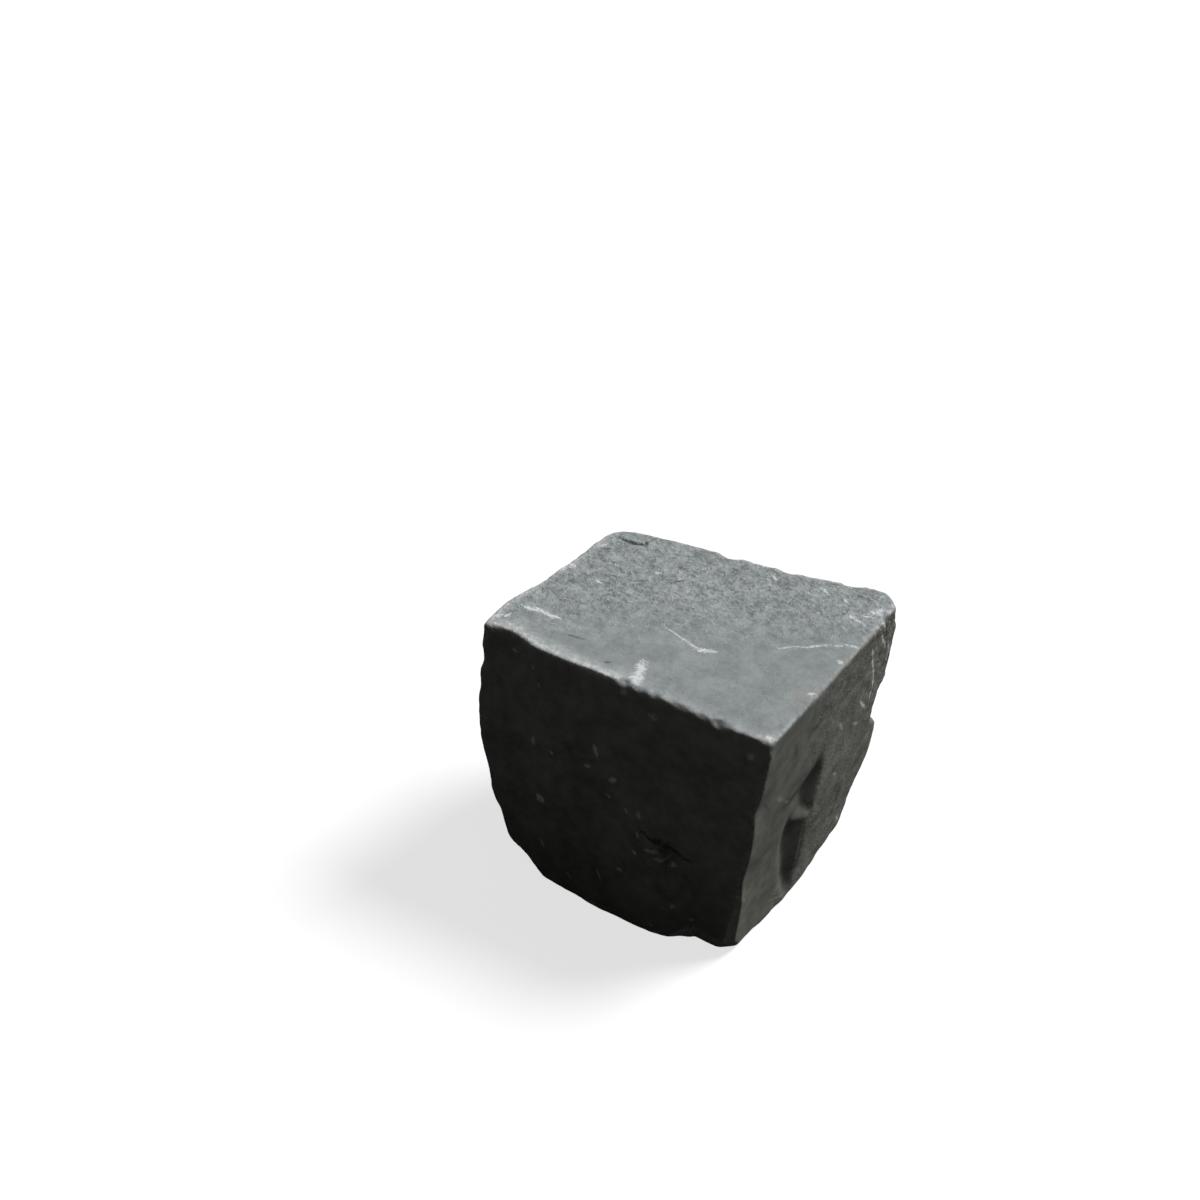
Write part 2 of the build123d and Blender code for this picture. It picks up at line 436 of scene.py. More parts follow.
# %% Outward directions and side shares
# In mm: the nudge that a slope is taken over, and how softly one side passes into the next, for
# the relief, for the finish and round the bed
NUDGE = 0.02
SHARE_WIDTH, SHARP_WIDTH, BED_WIDTH = 1.2, 0.6, 0.5


def outward_at(points, depths):
    """The unit direction in which the outside grows fastest, from differences over a nudge."""
    here = outside_stone(points, depths, BLUNT)
    slope = np.stack([
        outside_stone(points + NUDGE * np.eye(3)[axis], depths, BLUNT) - here for axis in range(3)
    ], axis=1)
    return slope / np.linalg.norm(slope, axis=1, keepdims=True)


def side_shares(points, width):
    """How much each point belongs to each side, adding up to one: exponentials of how proud it
    stands of each side, over a width in mm."""
    proud = np.stack([proud_of(side, points) for side in SIDES.values()])
    raised = np.exp((proud - proud.max(axis=0)) / width)
    return dict(zip(SIDES, raised / raised.sum(axis=0)))


outward = outward_at(skin, depths)
shares = side_shares(skin, SHARE_WIDTH)
sharp_shares = side_shares(skin, SHARP_WIDTH)
print("outward directions:", outward.shape)


# %% Relief of the head and of the sides
# Where the head's grain dies out: the level direction, and from where to where along it in mm
GRAIN_RUN = (0.5, -0.86)
GRAIN_FADE = (-6, 22)

# Where the last blows fell on the head, where the right side crumbles, and how far each spreads
BLOWS_AT, BLOWS_SPREAD = (45, 28), (12, 13)
CRUMBLE_AT, CRUMBLE_SPREAD = (38, 88), (13, 24)

# Clean breaks, in mm: where the strip in front of the scars ends, over how far it fades, over how
# far the flake's floor fades in from its ledge, and how wide a scar's edge is. A clean break
# loses the share SMOOTHING of its relief
STRIP_END, STRIP_FADE, FLOOR_FADE, SCAR_EDGE = -14, 6, 4, 0.5
SMOOTHING = 0.7


def bell(flat, at, spread):
    """A smooth bell on flat points, 1 at its place: the exponential of minus the square of the
    distance from there, counted in spreads."""
    away = (flat - at) / spread
    return np.exp(-away[:, 0] ** 2 - away[:, 1] ** 2)


def grain_strength(points):
    """How rough the head's grain is, from 1 at the back to a third at the front right corner: a
    ramp along the slanting line that the grain dies out on, and a bell at the back right corner,
    where the last blows fell."""
    forward = GRAIN_RUN[0] * points[:, 0] + GRAIN_RUN[1] * points[:, 1]
    corner = bell(points[:, :2], BLOWS_AT, BLOWS_SPREAD)
    return np.interp(forward, GRAIN_FADE, (1, 0.33)) + 0.8 * corner


def crumble(points):
    """How crumbly the right side is, from 0 on most of it to 1 at its upper back corner."""
    return bell(points[:, 1:], CRUMBLE_AT, CRUMBLE_SPREAD)


def head_relief(points):
    """Height of the head's break in mm: slow waves, crooked crests of two sizes, and grain."""
    warped = points + 1.2 * np.stack([noise(points, 3.5, seed) for seed in (16, 17, 18)], axis=1)
    return 0.25 * noise(points, 24, 1) + grain_strength(points) * (
        0.16 * noise(points, 6, 2)
        + 0.15 * ridges(warped, 3.4, 3)
        + 0.17 * ridges(warped, 1.9, 4)
        + 0.10 * steps(warped, 9, 5, 0.2)
    )


def side_relief(points):
    """Height of a split side in mm: waves of two sizes, two sets of terraces, and grain."""
    warped = points + 3.0 * np.stack([noise(points, 14, seed) for seed in (6, 7, 8)], axis=1)
    crumbling = 0.25 * crumble(points)
    return (
        0.50 * noise(points, 26, 9)
        + 0.24 * noise(warped, 11, 10)
        + 0.20 * steps(warped, 17, 11, 0.12)
        + 0.11 * steps(warped, 8, 12, 0.16)
        + (0.10 + crumbling) * noise(points, 3.6, 13)
        + (0.05 + crumbling) * ridges(warped, 2.4, 14)
    )


def in_scars(points):
    """How far a point lies in a scar, from 0 to 1: one on its walls, and nothing where they pass
    the scar's edge or more outside the skin."""
    near = [np.clip(1 + gone_with_scar(points, scar) / SCAR_EDGE, 0, 1) for scar in SCARS]
    return shares["right"] * np.max(near, axis=0)


def clean_break(points):
    """Where a side broke clean and smooth, from 0 to 1: the flake's floor on the front, and on the
    right the strip in front of the scars and the scars themselves."""
    on_floor = shares["front"] * np.clip(right_of_ledge(points) / FLOOR_FADE, 0, 1)
    on_strip = shares["right"] * np.clip((STRIP_END - points[:, 1]) / STRIP_FADE, 0, 1)
    return on_floor + np.maximum(in_scars(points), on_strip)


clean = clean_break(skin)
on_head, on_sides = shares["head"], 1 - shares["head"]
relief = on_head * head_relief(skin) + on_sides * (1 - SMOOTHING * clean) * side_relief(skin)
print(f"relief from {relief.min():.2f} to {relief.max():.2f} mm")

# %% [markdown]
# ## Cracks
# Two cracks show. One runs round a loose flake at the far left of the head, and one lies at the
# foot of the ledge on the front side. A crack is a groove: its depth falls away with the distance
# from a short broken line.

# %% Grooves along broken lines
CRACKS = [
    {"side": "head", "plane": (0, 1), "width": 0.5, "deep": 0.8,
     "line": [(-41.0, 21.4), (-36.6, 20.6), (-34.1, 21.9), (-32.1, 22.5), (-32.8, 25.8),
              (-31.8, 28.5)]},
    {"side": "front", "plane": (0, 2), "width": 0.8, "deep": 1.2,
     "line": [(12.4, 41.3), (19.0, 37.7), (21.4, 36.3), (26.0, 34.1), (28.5, 34.1)]},
]


def line_distance(flat, line):
    """Distance of flat points from a broken line: the least of the distances from its runs."""
    nearest = np.full(len(flat), np.inf)
    for a, b in zip(np.array(line[:-1]), np.array(line[1:])):
        run = b - a
        part = np.clip((flat - a) @ run / (run @ run), 0, 1)
        nearest = np.minimum(nearest, np.linalg.norm(flat - a - part[:, None] * run, axis=1))
    return nearest


groove = np.zeros(len(skin))
for crack in CRACKS:
    away = line_distance(skin[:, crack["plane"]], crack["line"])
    groove += shares[crack["side"]] * crack["deep"] * np.exp(-((away / crack["width"]) ** 2))
print(f"deepest groove {groove.max():.2f} mm")

# %% [markdown]
# ## The finished skin
# The relief is faded out on the bed, which stays level so that the stone rests as it should. The
# points go into one mesh, together with six values for the finish: how much a point is on the
# head, how close it is to an arris, how clean it broke, how worn and pale it is, how much it
# crumbles, and how far it lies in a scar.

# %% Moving the skin and making the mesh
# The bed's own shallow relief in mm
BED_RELIEF = 0.25

bed_share = side_shares(skin, BED_WIDTH)["bed"]
lift = relief * (1 - bed_share) - groove
placed = skin + outward * lift[:, None]
placed[:, 2] += BED_RELIEF * bed_share * np.clip(noise(skin, 6, 15), 0, 1)
placed[:, 2] = np.maximum(placed[:, 2], 0.0)

close = np.sort(np.stack(list(sharp_shares.values())), axis=0)
near_arris = np.clip(4 * close[-1] * close[-2], 0, 1)


# The worn band along each edge of the head: the axis that it runs along, its width in mm, and how
# pale it is at some places along it
WORN = {
    "front": {"axis": 0, "width": 3.8,
              "at": (-50, -42, 3, 10, 48, 55), "pale": (0.6, 0.85, 0.8, 0.25, 0.2, 0.9)},
    "right": {"axis": 1, "width": 1.2,
              "at": (-46, -30, 15, 30, 38), "pale": (0.5, 0.1, 0.15, 0.9, 0.9)},
    "back": {"axis": 0, "width": 1.3, "at": (-42, -10, 15, 48), "pale": (0.3, 0.5, 0.9, 0.9)},
    "left": {"axis": 1, "width": 2.0, "at": (-44, 0, 24), "pale": (1.0, 0.9, 0.6)},
}


def worn_band(points):
    """How worn and pale a point of the head is, from 0 to 1: for each edge a bell over the distance
    inside that side, times the edge's paleness there, and the largest of the four."""
    bands = []
    for name, edge in WORN.items():
        inside = proud_of(SIDES[name], points)
        pale = np.interp(points[:, edge["axis"]], edge["at"], edge["pale"])
        bands.append(pale * np.exp(-((inside / edge["width"]) ** 2)))
    return sharp_shares["head"] * np.max(bands, axis=0)


def stone_mesh(name, points, faces, values):
    """A mesh from whole arrays, with one value per point for each named attribute."""
    mesh = bpy.data.meshes.new(name)
    mesh.from_pydata(points.tolist(), [], faces.tolist())
    mesh.polygons.foreach_set("use_smooth", np.ones(len(faces), bool))
    for key, value in values.items():
        attribute = mesh.attributes.new(key, "FLOAT", "POINT")
        attribute.data.foreach_set("value", value.astype(np.float32))
    mesh.update()
    stone = bpy.data.objects.new(name, mesh)
    bpy.context.scene.collection.objects.link(stone)
    return stone


stone = stone_mesh("hewn_cobblestone", placed * MM, quads, {
    "head": sharp_shares["head"],
    "arris": near_arris,
    "clean": clean,
    "worn": worn_band(skin),
    "crumble": shares["right"] * crumble(skin),
    "scar": in_scars(skin),
})
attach(stone, "root")
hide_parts("cobblestone")
print("stone:", len(placed), "points,", 2 * len(quads), "triangles")

# %% [markdown]
# ## The finish
# Basalt is dark because its crystals are dark and too fine to see. Where a blow bruises it, the
# crystals craze and turn pale, so the head and the arrises are lighter than the clean sides. The head
# is painted paler still, as painted light from above.

# %% Node helpers and colours
def linear(hex_colour):
    """An sRGB hex colour as the linear red, green, blue and alpha that a shader takes."""
    levels = [int(hex_colour[i:i + 2], 16) / 255 for i in (1, 3, 5)]
    return [c / 12.92 if c <= 0.04045 else ((c + 0.055) / 1.055) ** 2.4 for c in levels] + [1.0]


def add(tree, kind, inputs=(), **settings):
    """Adds one node. settings are its properties, and inputs pairs a socket with a value or with
    another node's output."""
    node = tree.nodes.new(kind)
    for key, value in settings.items():
        setattr(node, key, value)
    for socket, value in dict(inputs).items():
        if isinstance(value, bpy.types.NodeSocket):
            tree.links.new(value, node.inputs[socket])
        else:
            node.inputs[socket].default_value = value
    return node


def per_metre(size_mm):
    """A texture's scale for features of one size in mm."""
    return 1 / (size_mm * MM)


def noise_at(tree, place, size_mm, detail, low, high):
    """Noise of one size spread from 0 to 1 between two of its levels."""
    field = add(tree, "ShaderNodeTexNoise", {
        "Vector": place, "Scale": per_metre(size_mm), "Detail": detail, "Roughness": 0.6})
    return add(tree, "ShaderNodeMapRange", {0: field.outputs["Fac"], 1: low, 2: high}).outputs[0]


def math_of(tree, kind, *values):
    """One sum on numbers or outputs."""
    return add(tree, "ShaderNodeMath", dict(enumerate(values)), operation=kind).outputs[0]


def times(tree, *outputs):
    """Several outputs multiplied together."""
    product = outputs[0]
    for output in outputs[1:]:
        product = math_of(tree, "MULTIPLY", product, output)
    return product


def sum_of(tree, parts):
    """Outputs added up by their weights."""
    total = 0.0
    for output, weight in parts:
        total = math_of(tree, "ADD", total, times(tree, output, weight))
    return total


def mixed(tree, low, high, share):
    """A colour between two, by a share from 0 to 1."""
    return add(tree, "ShaderNodeMix", {0: share, 6: low, 7: high}, data_type="RGBA").outputs[2]


# %% Where marks lie
# In mm: where the head, the front and the right side lie, and how far a mark reaches through
HEAD_AT, FRONT_AT, RIGHT_AT = 100, -46, 51
THROUGH = 12.0

# A mark is at full strength up to the first share of its size, and gone past the second
FULL_AT, GONE_AT = 0.6, 1.5


def marks_on(tree, place, ragged, side, marks):
    """How strong a side's marks are at a point. side is head, front or right, and says which two
    axes the marks' places and turns are on. Each mark fades from its strength to 0 over its
    ragged edge, and the strongest one there counts."""
    strongest = None
    for first, second, half_long, half_wide, turn, strength in marks:
        if side == "head":
            at, half = (first, second, HEAD_AT), (half_long, half_wide, THROUGH)
            angles = (0, 0, turn)
        elif side == "front":
            at, half = (first, FRONT_AT, second), (half_long, THROUGH, half_wide)
            angles = (0, -turn, 0)
        else:
            at, half = (RIGHT_AT, first, second), (THROUGH, half_long, half_wide)
            angles = (turn, 0, 0)
        ball = add(tree, "ShaderNodeMapping", {
            "Vector": place,
            "Location": Vector(at) * MM,
            "Rotation": [math.radians(angle) for angle in angles],
            "Scale": Vector(half) * MM,
        }, vector_type="TEXTURE")
        away = add(tree, "ShaderNodeVectorMath", {0: ball.outputs[0]}, operation="LENGTH")
        near = math_of(tree, "ADD", away.outputs["Value"], ragged)
        mark = add(tree, "ShaderNodeMapRange", {
            0: near, 1: FULL_AT, 2: GONE_AT, 3: strength, 4: 0.0}).outputs[0]
        strongest = mark if strongest is None else math_of(tree, "MAXIMUM", strongest, mark)
    return strongest


# %% Tones of the head and of the sides
# The head's tones are partly the pale bruised grain and partly painted light: the head is painted paler
# than the sides for the light that falls on it from above
LIT_HEAD_DARK, LIT_HEAD_LIGHT, HEAD_CREST = linear("#666B6B"), linear("#9DA2A3"), linear("#C2C6C7")
SIDE_DARK, SIDE_LIGHT, SIDE_CREST = linear("#4C4D46"), linear("#7B7C73"), linear("#9A9C92")
# The pale tone also paints highlights and light, and the pit tone also paints shade in cracks and scars
PALE_AND_HIGHLIGHT_TONE, PIT_AND_SHADE_TONE, BRUISE = linear("#E4E7E7"), linear("#2A2B29"), linear("#DDE0DE")
BROWN_TONE = linear("#9A938C")
ROUGHNESS, BUMP_MM, CREST_WIDTH = 0.85, 0.5, 0.035


def basalt_for(name, side, painted_foot_light, pale_marks_and_light, dark_marks_and_shade):
    """The finish of split basalt, with the marks of one side of the stone drawn on it. The third
    argument is painted light or painted shade towards the bed: the tone at the bed as a share of the
    tone half way up, under one for painted shade and over one for painted light."""
    # Split basalt: a dark grey, fine-grained and matt stone. It gives the eye pale bruised grains on
    # the head, which is also painted paler as lit from above, plain greenish grey sides, and near black
    # in pits, with painted shade in the cracks and in the scars, whose fresh breaks are dark too
    basalt = bpy.data.materials.new(name)
    basalt.use_nodes = True
    tree = basalt.node_tree
    shader = tree.nodes["Principled BSDF"]
    place = add(tree, "ShaderNodeTexCoord").outputs["Object"]
    head, arris, clean, worn, crumble, scar = (
        add(tree, "ShaderNodeAttribute", attribute_name=key).outputs["Fac"]
        for key in ("head", "arris", "clean", "worn", "crumble", "scar")
    )

    # Four sizes of mottling, thin crests where a noise crosses its middle, and the head's grain
    # dying out towards the front right corner
    grain = noise_at(tree, place, 1.5, 3.0, 0.3, 0.7)
    coarse = noise_at(tree, place, 4.0, 2.0, 0.35, 0.65)
    blotch = noise_at(tree, place, 9.0, 2.0, 0.35, 0.65)
    mottle = noise_at(tree, place, 22.0, 4.0, 0.35, 0.65)
    level = add(tree, "ShaderNodeTexNoise", {
        "Vector": place, "Scale": per_metre(3.0), "Detail": 2.0, "Roughness": 0.6}).outputs["Fac"]
    from_middle = math_of(tree, "ABSOLUTE", math_of(tree, "SUBTRACT", level, 0.5))
    crest = add(tree, "ShaderNodeMapRange", {
        0: from_middle, 1: 0.0, 2: CREST_WIDTH, 3: 1.0, 4: 0.0}).outputs[0]
    crest = times(tree, crest, noise_at(tree, place, 5.0, 2.0, 0.42, 0.6))
    forward = add(tree, "ShaderNodeVectorMath", {
        0: place, 1: (*GRAIN_RUN, 0.0)}, operation="DOT_PRODUCT").outputs["Value"]
    strength = add(tree, "ShaderNodeMapRange", {
        0: forward, 1: GRAIN_FADE[0] * MM, 2: GRAIN_FADE[1] * MM, 3: 1.0, 4: 0.22}).outputs[0]

    # The head: bruised grains, pale crests and dark pits, on tones that are partly painted light from
    # above
    fine = math_of(tree, "SUBTRACT", sum_of(tree, [(grain, 0.6), (coarse, 0.4)]), 0.5)
    level = sum_of(tree, [
        (times(tree, fine, strength), 1.25), (blotch, 0.27), (strength, 0.11), (0.26, 1.0)])
    bruised_and_lit_head_tone = mixed(tree, LIT_HEAD_DARK, LIT_HEAD_LIGHT, level)
    bruised_and_lit_head_tone = mixed(tree, bruised_and_lit_head_tone, HEAD_CREST, times(tree, crest, strength, 0.7))
    pits = noise_at(tree, place, 2.4, 2.0, 0.37, 0.30)
    bruised_and_lit_head_tone = mixed(tree, bruised_and_lit_head_tone, PIT_AND_SHADE_TONE, times(tree, pits, strength, 0.35))

    # The sides: softer mottling, crests where they crumble, and scars darkened partly as fresh breaks
    # and partly as painted shade in their hollows
    rough = math_of(tree, "SUBTRACT", 1.0, times(tree, clean, 0.8))
    level = sum_of(tree, [
        (mottle, 0.3), (blotch, 0.3), (coarse, 0.28), (times(tree, grain, rough), 0.12),
        (clean, 0.1)])
    side_tone = mixed(tree, SIDE_DARK, SIDE_LIGHT, level)
    lines = math_of(tree, "ADD", 0.15, times(tree, crumble, 0.6))
    side_tone = mixed(tree, side_tone, SIDE_CREST, times(tree, crest, rough, lines))
    side_tone = mixed(tree, side_tone, BRUISE, times(tree, crest, crumble, 0.4))
    tone = mixed(tree, side_tone, bruised_and_lit_head_tone, head)
    # Painted shade in the scars' hollows, partly also the darker tone of a fresh break
    fresh_and_painted_scar_shade = math_of(tree, "ADD", 0.15, times(tree, coarse, 0.45))
    tone = mixed(tree, tone, PIT_AND_SHADE_TONE, times(tree, scar, fresh_and_painted_scar_shade))

    # The worn bands and the arrises, then the marks of this side, with the painted highlights and
    # painted shade among them
    crumbs = noise_at(tree, place, 1.7, 2.0, 0.45, 0.6)
    band = times(tree, worn, math_of(tree, "ADD", 0.5, times(tree, crumbs, 0.5)))
    tone = mixed(tree, tone, BRUISE, band)
    tone = mixed(tree, tone, BRUISE, times(tree, arris, crumbs, 0.12))
    if side:
        ragged = math_of(tree, "SUBTRACT", noise_at(tree, place, 0.9, 2.0, 0.3, 0.7), 0.5)
        ragged = times(tree, ragged, 1.2)
        uneven = noise_at(tree, place, 1.3, 1.0, 0.35, 0.55)
        uneven = math_of(tree, "ADD", 0.45, times(tree, uneven, 0.55))
        # Pale marks, some of them painted highlights and painted light, then dark marks, some of them
        # painted shade
        pale = times(tree, marks_on(tree, place, ragged, side, pale_marks_and_light), uneven)
        tone = mixed(tree, tone, PALE_AND_HIGHLIGHT_TONE, pale)
        tone = mixed(tree, tone, PIT_AND_SHADE_TONE, marks_on(tree, place, ragged, side, dark_marks_and_shade))
    if side == "head":
        tone = mixed(tree, tone, BROWN_TONE, marks_on(tree, place, ragged, side, HEAD_BROWN))

    # Painted shade and painted light towards the bed: the front is painted darker low down, where it
    # lies in shade, and the right side lighter low down, where the lit floor throws light on it
    above_bed = add(tree, "ShaderNodeSeparateXYZ", {0: place}).outputs["Z"]
    painted_light_by_height = add(tree, "ShaderNodeMapRange", {
        0: above_bed, 1: 0.0, 2: HEAD_HEIGHT / 2 * MM, 3: painted_foot_light, 4: 1.0}).outputs[0]
    tone_with_painted_light = add(tree, "ShaderNodeVectorMath", {0: tone, 1: painted_light_by_height}, operation="MULTIPLY")

    # The grain and the crests as a bump, half as strong on the sides
    height = sum_of(tree, [(grain, 0.6), (crest, 0.4)])
    head_share = times(tree, head, strength)
    off_head = math_of(tree, "SUBTRACT", 1.0, head)
    side_share = times(tree, off_head, math_of(tree, "SUBTRACT", rough, 0.15), 0.5)
    height = times(tree, height, math_of(tree, "ADD", head_share, side_share))
    bump = add(tree, "ShaderNodeBump", {"Height": height, "Strength": 1.0, "Distance": BUMP_MM * MM})
    tree.links.new(tone_with_painted_light.outputs["Vector"], shader.inputs["Base Color"])
    tree.links.new(bump.outputs["Normal"], shader.inputs["Normal"])
    shader.inputs["Roughness"].default_value = ROUGHNESS
    return basalt


# %% The marks and the four finishes
# Each mark is its two places on its side, its half length and half width in mm, its turn, and
# its strength
# Pale scratches and smudges on the head, and at (52.8, -45.6) a painted highlight on the front right
# tip
HEAD_PALE_MARKS_AND_TIP_HIGHLIGHT = [
    (1.3, -15.7, 4.6, 0.3, -16, 0.55), (9.3, -17.8, 4.3, 0.45, -13, 0.55),
    (14.8, -18.2, 2.6, 0.9, 21, 0.85), (2.1, -37.2, 3.2, 1.5, -66, 0.65),
    (3.6, -42.2, 4.4, 1.7, -72, 0.65), (-43.5, -30.5, 2.7, 0.9, 7, 0.75),
    (-39.6, -30.1, 3.9, 0.7, -10, 0.75), (-35.7, -30.1, 2.7, 0.5, -1, 0.75),
    (35.4, -1.7, 2.0, 0.35, 44, 0.5), (38.5, 1.1, 2.1, 0.25, 26, 0.5),
    (43.4, 4.8, 3.7, 0.5, 44, 0.5), (49.3, 8.9, 1.6, 0.45, 35, 0.5),
    (52.8, 11.3, 2.0, 0.5, 16, 0.5), (-44.4, 14.1, 1.4, 0.8, 51, 0.6),
    (-46.3, -2.2, 1.6, 1.0, -27, 0.6), (-47.7, -5.0, 1.7, 0.8, 75, 0.6),
    (-33.8, -5.3, 1.5, 0.4, -13, 0.6), (-20.0, 10.7, 1.0, 0.7, 11, 0.6),
    (14.1, 30.8, 1.3, 0.5, -30, 0.6), (32.2, 33.1, 2.2, 0.5, -31, 0.6),
    (40.3, 32.4, 1.0, 0.5, -19, 0.6), (46.8, 24.9, 2.3, 0.5, -9, 0.6),
    (52.8, -45.6, 1.1, 1.0, 16, 0.6), (53.8, 1.5, 1.1, 0.9, -8, 0.5),
    (53.7, -18.8, 0.9, 0.8, 34, 0.6), (51.6, 33.0, 3.0, 1.3, 60, 0.6),
    (48.2, 24.6, 2.6, 0.5, -12, 0.6), (50.2, 28.6, 2.0, 0.5, 20, 0.5),
    (-51.0, -40.1, 1.2, 0.8, 53, 0.6), (-48.6, -38.1, 1.2, 0.6, 74, 0.6),
]
# Dark marks on the head; the first five are painted shade in the crack round the loose flake at the
# back left
HEAD_DARK_MARKS_AND_CRACK_SHADE = [
    (-39.7, 21.3, 2.2, 0.45, -2, 0.85), (-36.3, 21.5, 1.8, 0.6, 6, 0.85),
    (-33.6, 22.3, 1.7, 0.4, 27, 0.85), (-32.5, 24.0, 1.4, 0.5, 100, 0.85),
    (-32.2, 26.9, 2.1, 0.3, 73, 0.85), (-24.0, -35.8, 2.8, 0.35, 9, 0.6),
    (-8.1, -41.1, 0.9, 0.6, 35, 0.6), (-31.3, 0.7, 1.9, 0.35, 1, 0.6),
    (-22.8, 2.8, 2.0, 0.4, 39, 0.6), (-11.8, 10.1, 2.5, 0.45, 55, 0.6),
    (32.6, 38.6, 1.8, 0.4, 24, 0.6), (43.4, 25.1, 0.7, 0.5, 6, 0.6),
    (-42.0, 13.2, 1.5, 0.4, 35, 0.6),
]
RIGHT_PALE = [
    (26.7, 85.3, 5.2, 0.5, -67, 0.7), (29.5, 76.3, 4.9, 0.5, -79, 0.7),
    (30.1, 68.7, 3.4, 0.4, -96, 0.7), (30.1, 98.4, 5.7, 0.5, -56, 0.7),
    (34.4, 88.6, 4.2, 0.5, -60, 0.7), (40.4, 80.6, 4.4, 0.5, -72, 0.7),
    (40.7, 78.1, 2.6, 0.4, -86, 0.7), (2.8, 91.1, 1.8, 0.8, -46, 0.2),
    (24.3, 67.5, 4.5, 0.5, -47, 0.7), (20.1, 62.1, 3.4, 0.6, -39, 0.4),
    (8.2, 48.0, 2.2, 0.5, -47, 0.4), (31.4, 8.2, 4.2, 0.5, -48, 0.4),
    (-30.8, 63.7, 2.5, 0.8, -40, 0.2), (-4.9, 42.6, 2.2, 0.5, -53, 0.15),
    (-25.0, 58.5, 3.0, 0.5, -40, 0.14), (-16.4, 6.9, 4.8, 0.5, -29, 0.15),
    (-42.8, 27.0, 2.0, 0.6, -52, 0.15), (6.7, 70.2, 2.8, 0.6, -50, 0.4),
    (-8.4, 25.0, 11.0, 0.4, -80, 0.25),
]
# Dark marks on the right side; the two in the scars, at (-13.5, 46.6) and (-7.8, 7.5), are painted
# shade on the scars' walls
RIGHT_DARK_MARKS_AND_SCAR_SHADE = [
    (-26.9, 82.4, 4.0, 1.2, -72, 0.35), (-38.5, 65.1, 3.1, 0.6, -52, 0.35),
    (-13.5, 46.6, 6.0, 2.6, -15, 0.5), (-7.8, 7.5, 10.0, 2.4, -68, 0.5),
]
# Pale specks and crumbs on the front; the two larger ones just under the ledge's crack, at (15.8, 36.1)
# and (19.1, 33.7), are painted light on the ledge's lip
FRONT_PALE_SPECKS_AND_LIP_LIGHT = [
    (-40.6, 93.6, 0.9, 0.6, -15, 0.28), (-32.7, 90.9, 0.7, 0.5, -58, 0.28),
    (-30.2, 84.6, 0.7, 0.4, -58, 0.4), (-31.4, 60.8, 1.6, 0.6, -89, 0.4),
    (-24.4, 59.1, 0.9, 0.5, -69, 0.4), (-28.6, 36.5, 1.4, 1.1, -52, 0.8),
    (-27.2, 16.7, 1.7, 0.4, -63, 0.4), (-8.1, 66.5, 2.6, 0.6, -68, 0.4),
    (-10.3, 59.9, 1.3, 0.6, 2, 0.4), (-1.3, 56.9, 1.1, 0.8, -43, 0.4),
    (-1.6, 51.1, 0.8, 0.5, -31, 0.4), (1.9, 95.6, 1.1, 1.2, -5, 0.28),
    (12.9, 90.8, 1.4, 1.3, 5, 0.28), (5.3, 48.0, 0.7, 0.5, -58, 0.4),
    (8.9, 46.7, 1.1, 0.4, -43, 0.4), (10.4, 40.2, 0.9, 0.5, -68, 0.4),
    (15.8, 36.1, 1.9, 0.7, 12, 0.4), (19.1, 33.7, 1.8, 0.7, -4, 0.4),
    (9.9, 32.6, 0.8, 0.5, -31, 0.4), (5.1, 22.9, 0.9, 0.8, -14, 0.4),
    (-3.3, 15.9, 1.9, 0.4, -66, 0.4), (22.9, 30.3, 1.1, 0.6, -43, 0.4),
    (24.9, 14.6, 0.8, 0.6, -31, 0.4), (30.4, 8.4, 0.8, 0.5, -31, 0.4),
    (18.2, 4.1, 0.8, 0.5, -31, 0.4), (-4.7, 1.7, 0.9, 0.6, -13, 0.4),
    (-15.9, 7.9, 1.2, 0.4, -44, 0.4), (48.5, 91.4, 1.3, 1.2, -22, 0.28),
]
# Painted shade along the crack at the foot of the ledge, where the ledge's wall overhangs it
FRONT_LEDGE_CRACK_SHADE = [
    (9.6, 45.0, 3.4, 0.4, -55, 0.35), (15.2, 40.0, 4.8, 0.6, -31, 0.85),
    (20.2, 37.0, 1.8, 0.8, -30, 0.85), (23.7, 35.2, 2.8, 0.7, -26, 0.85),
    (27.2, 34.1, 1.5, 0.5, 0, 0.85),
]
HEAD_BROWN = [(50.8, -21.5, 3.0, 2.4, 20, 0.4)]

# Each finish: its name, its side, its painted light or painted shade at the bed, its pale marks with
# their painted light, and its dark marks with their painted shade
FINISHES = [
    ("split basalt", None, 1.0, [], []),
    ("bruised basalt of the head with painted light", "head", 1.0, HEAD_PALE_MARKS_AND_TIP_HIGHLIGHT, HEAD_DARK_MARKS_AND_CRACK_SHADE),
    ("split basalt of the front", "front", 0.54, FRONT_PALE_SPECKS_AND_LIP_LIGHT, FRONT_LEDGE_CRACK_SHADE),
    ("split basalt of the right side", "right", 1.25, RIGHT_PALE, RIGHT_DARK_MARKS_AND_SCAR_SHADE),
]
for name, side, painted_foot_light, pale_marks_and_light, dark_marks_and_shade in FINISHES:
    stone.data.materials.append(basalt_for(name, side, painted_foot_light, pale_marks_and_light, dark_marks_and_shade))
middles = skin[quads].mean(axis=1)
prouds = np.stack([proud_of(side, middles) for side in SIDES.values()])
facing = np.array(list(SIDES))[np.argmax(prouds, axis=0)]
number = np.zeros(len(quads), np.int32)
for slot, (_, side, _, _, _) in enumerate(FINISHES):
    if side:
        number[facing == side] = slot
stone.data.polygons.foreach_set("material_index", number)
print("faces by finish:", np.bincount(number).tolist())

# %% [markdown]
# ## Floor, light and camera
# The stone stands on a plain pale floor. To the camera the floor is white with a faint shadow. To
# the stone it is a mid grey, so that it doesn't light the dark sides from below.

